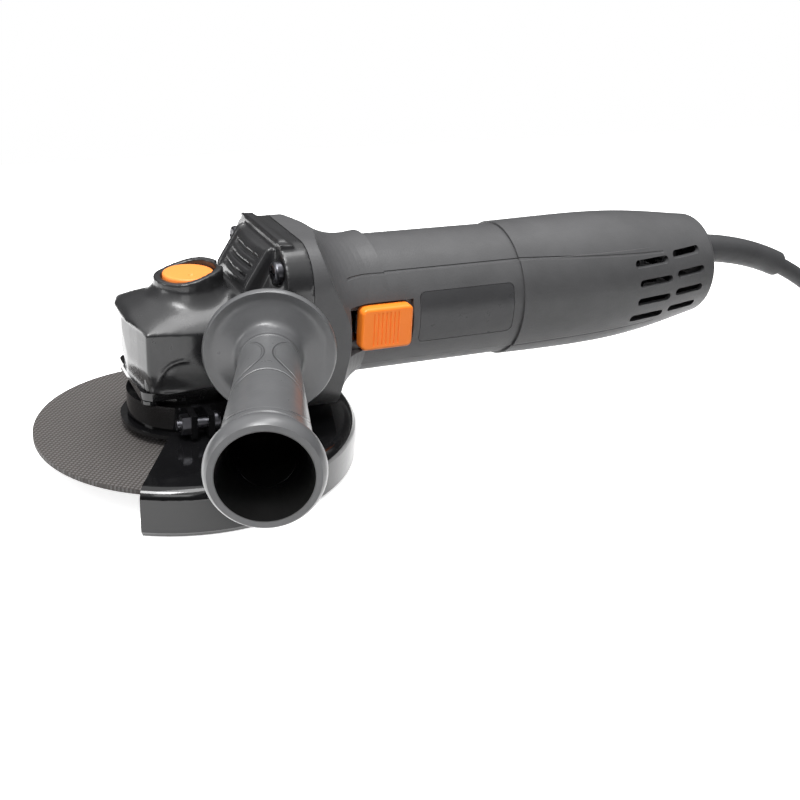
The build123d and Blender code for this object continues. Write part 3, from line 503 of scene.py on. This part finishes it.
def moulded(name, colour, low_rough, high_rough, grain_scale, grain_height, blotch=0.10):
    """Moulded plastic: a fine spark-eroded grain, faint blotches and uneven gloss."""
    m = Mat(name)
    blotches = m.noise(55.0, 4.0, 0.6)
    m.colour(m.ramp(blotches, (0.3, shade(colour, 1 - blotch)), (0.7, shade(colour, 1 + blotch))))
    m.rough(m.spread(m.noise(140.0, 5.0, 0.65), 0.3, 0.7, low_rough, high_rough))
    fine = m.noise(grain_scale, 3.0, 0.6)
    pits = m.math("MULTIPLY", m.cells(grain_scale * 0.8), 0.6)
    m.bump(m.math("ADD", fine, pits), grain_height)
    m.set(Specular_IOR_Level=0.28)
    return m


def painted(name, colour, low_rough, high_rough, peel):
    """Paint or powder coat over metal: a slight orange peel and colour that varies a little in patches.
    """
    m = Mat(name)
    m.colour(m.ramp(m.noise(70.0, 4.0), (0.3, shade(colour, 0.88)), (0.7, shade(colour, 1.12))))
    m.rough(m.spread(m.noise(110.0, 6.0, 0.7), 0.35, 0.7, low_rough, high_rough))
    m.bump(m.noise(420.0, 2.0), peel)
    m.set(Specular_IOR_Level=0.4, Coat_Weight=0.18, Coat_Roughness=0.12)
    return m


def metal(name, colour, low_rough, high_rough,
          stretch=(1.0, 1.0, 1.0), line_scale=900.0, depth=0.000012):
    """Turned, ground or drawn metal: fine lines in one direction and patchy gloss."""
    m = Mat(name)
    m.set(Metallic=1.0)
    lines = m.noise(line_scale, 3.0, 0.6, m.stretched(stretch))
    m.colour(m.ramp(m.noise(160.0, 4.0), (0.3, shade(colour, 0.84)), (0.7, shade(colour, 1.08))))
    m.rough(m.spread(lines, 0.3, 0.7, low_rough, high_rough))
    m.bump(lines, depth)
    return m


def give(material, *names):
    """Puts a material on CAD nodes or pieces, in place of what they came with."""
    for name in names:
        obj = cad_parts.get(name) or bpy.data.objects[name]
        obj.data.materials.clear()
        obj.data.materials.append(material.material)


def smooth(obj, angle=30.0):
    """Smooth shading, with edges sharper than the angle kept."""
    for face in obj.data.polygons:
        face.use_smooth = True
    obj.data.set_sharp_from_angle(angle=math.radians(angle))


HEAD = (0.019, 0.019, 0.020)
CASE = (0.071, 0.071, 0.073)
HANDLE = (0.090, 0.091, 0.094)
GUARD = (0.005, 0.005, 0.0055)
ORANGE = (1.0, 0.235, 0.024)
# A painted glow: the slide button's orange plastic is given a faint light of its own.
ORANGE_PAINTED_GLOW = 0.07
# A painted shade for the inside of the side handle's hollow grip.
BORE_PAINTED_SHADE = (0.006, 0.006, 0.006)

head_paint = painted("head_paint", HEAD, 0.26, 0.36, 0.00004)
case_plastic = moulded("case_plastic", CASE, 0.34, 0.44, 1500.0, 0.00005)
handle_plastic = moulded("handle_plastic", HANDLE, 0.27, 0.35, 1200.0, 0.000015)
guard_paint = painted("guard_paint", GUARD, 0.08, 0.13, 0.00003)
orange_plastic_and_glow = moulded("orange_plastic_and_glow", ORANGE, 0.30, 0.40, 1600.0, 0.00003, 0.05)
lock_plastic = moulded("lock_plastic", (0.96, 0.27, 0.055), 0.32, 0.42, 1600.0, 0.00003, 0.05)
black_plastic = moulded("black_plastic", (0.022, 0.022, 0.024), 0.35, 0.48, 1400.0, 0.00004)
grey_plastic = moulded("grey_plastic", (0.20, 0.20, 0.20), 0.40, 0.52, 1400.0, 0.00004)
rubber = moulded("rubber", (0.045, 0.045, 0.047), 0.44, 0.58, 900.0, 0.00004)
label_foil = moulded("label_foil", (0.046, 0.046, 0.048), 0.26, 0.34, 1800.0, 0.00002)
steel = metal("steel", (0.62, 0.62, 0.64), 0.24, 0.38)
ground_steel = metal("ground_steel", (0.56, 0.56, 0.57), 0.18, 0.32, (1.0, 1.0, 14.0))
zinc = metal("zinc", (0.66, 0.66, 0.68), 0.28, 0.44)
black_screw = metal("black_screw", (0.10, 0.10, 0.11), 0.28, 0.42)
bronze = metal("bronze", (0.62, 0.42, 0.20), 0.32, 0.48)
brass = metal("brass", (0.80, 0.62, 0.30), 0.25, 0.40)
copper = metal("copper", (0.80, 0.36, 0.18), 0.28, 0.45, (1.0, 12.0, 12.0), 700.0, 0.00004)
lamination = metal("lamination", (0.34, 0.34, 0.36), 0.40, 0.55, (60.0, 1.0, 1.0), 60.0, 0.00004)
nickel = metal("nickel", (0.72, 0.71, 0.68), 0.16, 0.28)
graphite = moulded("graphite", (0.03, 0.03, 0.032), 0.4, 0.6, 1200.0, 0.00005)


WEAVE_ANGLE = 38.0
WEAVE_PITCH = 0.00150       # metres


def woven_disc():
    """Grit bonded under an open weave of glass threads that crosses at 90 degrees."""
    m = Mat("woven_disc")
    turned = m.add("ShaderNodeMapping")
    turned.inputs["Rotation"].default_value = (0.0, 0.0, math.radians(WEAVE_ANGLE))
    m.link(m.place, turned.inputs["Vector"])
    axes = m.add("ShaderNodeSeparateXYZ")
    m.link(turned.outputs["Vector"], axes.inputs[0])
    waves = []
    for axis in ("X", "Y"):
        phase = m.math("MULTIPLY", axes.outputs[axis], math.pi / WEAVE_PITCH)
        waves.append(m.math("ABSOLUTE", m.math("SINE", phase)))
    cells = m.math("MULTIPLY", waves[0], waves[1])
    thread = m.spread(cells, 0.30, 0.72)
    grit = m.noise(2600.0, 3.0, 0.7)
    dark = m.ramp(grit, (0.35, (0.018, 0.015, 0.014)), (0.65, (0.052, 0.043, 0.039)))
    pale = m.ramp(grit, (0.3, (0.070, 0.066, 0.064)), (0.7, (0.142, 0.135, 0.131)))
    m.colour(m.mix(thread, dark, pale))
    m.rough(m.spread(grit, 0.3, 0.7, 0.55, 0.8))
    m.bump(m.math("ADD", m.math("MULTIPLY", cells, 0.8), grit), 0.00018)
    return m


disc_weave = woven_disc()


GROOVE_DEPTH = 0.0006       # metres
PANEL_HALF = 18.6           # millimetres from the motor's axis to a panel line


def scribe(m, start, end, rise, bow):
    """Two fine grooves along each side, from start to end in x, that close in by bow at the end."""
    axes = m.add("ShaderNodeSeparateXYZ")
    m.link(m.place, axes.inputs[0])
    x = m.math("MULTIPLY", axes.outputs["X"], 1000.0)
    height = m.math("SUBTRACT", m.math("MULTIPLY", axes.outputs["Z"], 1000.0), MOTOR_Z + rise)
    half = m.spread(x, start, end, PANEL_HALF, PANEL_HALF - bow)
    gap = m.math("ABSOLUTE", m.math("SUBTRACT", m.math("ABSOLUTE", height), half))
    line = m.spread(gap, 0.22, 0.5, 1.0, 0.0)
    shown = m.math("MULTIPLY", m.spread(x, start, start + 2.0), m.spread(x, end - 2.0, end, 1.0, 0.0))
    m.bump(m.math("MULTIPLY", m.math("MULTIPLY", line, shown), -1.0), GROOVE_DEPTH)


scribe(case_plastic, 57.0, 140.0, 0.0, 0.0)
tail_plastic = moulded("tail_plastic", CASE, 0.34, 0.44, 1500.0, 0.00005)
scribe(tail_plastic, 130.0, 206.0, 0.6, 3.0)

GRIP_LEAN = 20.0
GRIP_START_X = 35.65
GRIP_R = 13.0
NECK_RING = 52.4            # millimetres along the grip
LEAVES = (                  # arcs: place along the grip, place round it, radius
    (70.0, -21.0, 19.0),
    (70.0, 21.0, 19.0),
    (104.0, 0.0, 17.0),
    (104.0, 40.8, 17.0),
    (104.0, -40.8, 17.0),
)


def carve_leaves(m):
    """Leaf-shaped grooves drawn as arcs on the unrolled grip, a ring at its neck and painted shade
    inside the bore.
    """
    lean = math.radians(GRIP_LEAN)
    start = mm(GRIP_START_X, 0.0, MOTOR_Z)
    along = Vector((-math.sin(lean), -math.cos(lean), 0.0))
    across = Vector((math.cos(lean), -math.sin(lean), 0.0))

    def part(direction):
        """How far a point lies from the grip's start in this direction."""
        node = m.add("ShaderNodeVectorMath", operation="DOT_PRODUCT")
        m.link(m.place, node.inputs[0])
        node.inputs[1].default_value = direction
        return m.math("SUBTRACT", node.outputs["Value"], direction.dot(start))

    distance = m.math("MULTIPLY", part(along), 1000.0)
    angle = m.math("ARCTAN2", part(across), part(Vector((0.0, 0.0, 1.0))))
    round_way = m.math("MULTIPLY", angle, GRIP_R)
    sideways = m.math("POWER", part(across), 2.0)
    upwards = m.math("POWER", part(Vector((0.0, 0.0, 1.0))), 2.0)
    radial = m.math("MULTIPLY", m.math("SQRT", m.math("ADD", sideways, upwards)), 1000.0)
    lines = None
    for centre, turn, radius in LEAVES:
        a = m.math("POWER", m.math("SUBTRACT", distance, centre), 2.0)
        b = m.math("POWER", m.math("SUBTRACT", round_way, turn), 2.0)
        gap = m.math("ABSOLUTE", m.math("SUBTRACT", m.math("SQRT", m.math("ADD", a, b)), radius))
        line = m.spread(gap, 0.15, 0.75, 1.0, 0.0)
        lines = line if lines is None else m.math("MAXIMUM", lines, line)
    grip = m.math("MULTIPLY", m.spread(distance, 55.0, 57.0), m.spread(distance, 119.0, 121.0, 1.0, 0.0))
    ring = m.spread(m.math("ABSOLUTE", m.math("SUBTRACT", distance, NECK_RING)), 0.3, 1.1, 1.0, 0.0)
    m.bump(m.math("SUBTRACT", ring, m.math("MULTIPLY", lines, grip)), GROOVE_DEPTH)
    mouth = m.spread(distance, 122.0, 136.5, 12.3, 14.9)
    inside = m.spread(m.math("SUBTRACT", mouth, radial), 0.0, 0.3)
    # Painted shade: the colour darkens inside the hollow grip, from its middle out to its open end.
    bore_shade = m.math("MULTIPLY", inside, m.spread(distance, 84.0, 90.0))
    moulded_colour = m.shader.inputs["Base Color"].links[0].from_socket
    m.colour(m.mix(bore_shade, moulded_colour, BORE_PAINTED_SHADE))


give(head_paint, "gear_housing", "gear_head")
smooth(bpy.data.objects["gear_head"], 180.0)
give(case_plastic, "field_case")
give(tail_plastic, "tail_cover")
give(handle_plastic, "side_handle")
carve_leaves(handle_plastic)
handle_plastic.set(Specular_IOR_Level=0.5)
give(guard_paint, "guard", "guard_band", "bearing_box", "bearing_box_screws")
# Painted glow: the slide button gives off a faint orange light though it is no lamp.
orange_plastic_and_glow.set(Emission_Color=(1.0, 0.23, 0.03, 1.0), Emission_Strength=ORANGE_PAINTED_GLOW)
give(orange_plastic_and_glow, "slide_button")
give(lock_plastic, "lock_button")
give(disc_weave, "cutting_disc")
give(label_foil, "label_plate")
give(black_screw, "gear_housing_screws", "tail_cover_screw", "guard_clamp_screw", "guard_clamp_nut")
give(zinc, "lock_pin_clip", "cord_clamp_screws", "pinion_nut", "inner_flange", "lock_nut")
give(steel, "lock_spring", "return_spring", "brush_springs", "crown_gear", "pinion")
give(ground_steel, "spindle", "lock_pin", "armature_shaft", "handle_stud",
     "spindle_bearing", "front_bearing", "rear_bearing")
give(bronze, "spindle_top_bush")
give(brass, "brush_holders")
give(copper, "armature_winding", "field_coils", "commutator")
give(lamination, "armature_core", "stator_core")
give(graphite, "carbon_brushes")
give(black_plastic, "cooling_fan", "fan_baffle", "switch_body", "capacitor", "plug_body",
     "internal_leads", "cord_clamp")
give(grey_plastic, "switch_rod")
give(rubber, "cord_boot", "cord_inner", "cord")
give(nickel, "plug_pins")
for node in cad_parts.values():
    smooth(node)


# ---------- floor and light ----------
FLOOR_GLOW = 0.75
# (height, grey), from straight down at 0 to straight up at 1
SKY_STOPS = ((0.0, 0.34), (0.40, 0.24), (0.50, 0.08), (0.70, 0.10), (0.84, 1.0), (1.0, 1.6))
LAMPS = (                   # name, place, target, size, power
    ("key", (-0.45, -0.45, 1.35), (0.02, -0.05, 0.05), (0.5, 0.5), 14.0),
    ("overhead", (0.15, -0.05, 1.6), (0.1, 0.0, 0.0), (1.3, 0.5), 15.0),
    ("front", (-0.55, -1.2, 1.15), (0.05, 0.0, 0.05), (0.6, 0.4), 2.2),
    ("gleam", (-0.2, -0.3, 0.8), (0.0, -0.05, 0.05), (0.12, 0.12), 1.0),
    ("left", (-1.4, 0.25, 0.45), (0.0, 0.0, 0.05), (0.5, 0.7), 5.0),
)


def make_floor():
    """A white floor, seen by the camera and in gloss, that sends no light onto matt surfaces."""
    data = bpy.data.meshes.new("floor")
    corners = [(-0.35, -0.5), (0.75, -0.5), (0.75, 0.5), (-0.35, 0.5)]
    data.from_pydata([(x, y, FLOOR_Z / 1000) for x, y in corners], [], [(0, 1, 2, 3)])
    floor = placed("floor", data)
    m = Mat("floor_white")
    m.set(Roughness=0.9, Emission_Color=(1.0, 1.0, 1.0, 1.0), Emission_Strength=FLOOR_GLOW)
    m.colour(m.ramp(m.noise(3.0, 2.0), (0.2, (0.93, 0.93, 0.93)), (0.8, (0.95, 0.95, 0.95))))
    data.materials.append(m.material)
    floor.visible_diffuse = False


def area_light(name, place, target, size, power):
    """A rectangular lamp turned to its target."""
    data = bpy.data.lights.new(name, "AREA")
    data.shape = "RECTANGLE"
    data.size, data.size_y = size
    data.energy = power
    light = placed(name, data)
    light.location = place
    light.rotation_mode = "QUATERNION"
    light.rotation_quaternion = (Vector(target) - Vector(place)).to_track_quat("-Z", "Y")


def make_sky(world):
    """A white room: bright overhead, darkest at eye height, and plain white to the camera."""
    tree = world.node_tree
    background = tree.nodes["Background"]
    place = tree.nodes.new("ShaderNodeTexCoord")
    split = tree.nodes.new("ShaderNodeSeparateXYZ")
    tree.links.new(place.outputs["Generated"], split.inputs[0])
    ramp = tree.nodes.new("ShaderNodeValToRGB")
    while len(ramp.color_ramp.elements) < len(SKY_STOPS):
        ramp.color_ramp.elements.new(0.5)
    for element, (height, grey) in zip(ramp.color_ramp.elements, SKY_STOPS):
        element.position = height
        element.color = (grey, grey, grey, 1.0)
    half = tree.nodes.new("ShaderNodeMapRange")
    half.inputs["From Min"].default_value = -1.0
    tree.links.new(split.outputs["Z"], half.inputs["Value"])
    tree.links.new(half.outputs["Result"], ramp.inputs["Fac"])
    seen = tree.nodes.new("ShaderNodeLightPath")
    mix = tree.nodes.new("ShaderNodeMix")
    mix.data_type = "RGBA"
    mix.inputs[MIX_B].default_value = (1.0, 1.0, 1.0, 1.0)
    tree.links.new(seen.outputs["Is Camera Ray"], mix.inputs["Factor"])
    tree.links.new(ramp.outputs["Color"], mix.inputs[MIX_A])
    tree.links.new(mix.outputs[MIX_RESULT], background.inputs["Color"])
    background.inputs["Strength"].default_value = 1.0


def make_light():
    world = bpy.data.worlds.new("world")
    world.use_nodes = True
    make_sky(world)
    bpy.context.scene.world = world
    for lamp in LAMPS:
        area_light(*lamp)


make_floor()
make_light()
bpy.context.scene.view_settings.view_transform = "Standard"
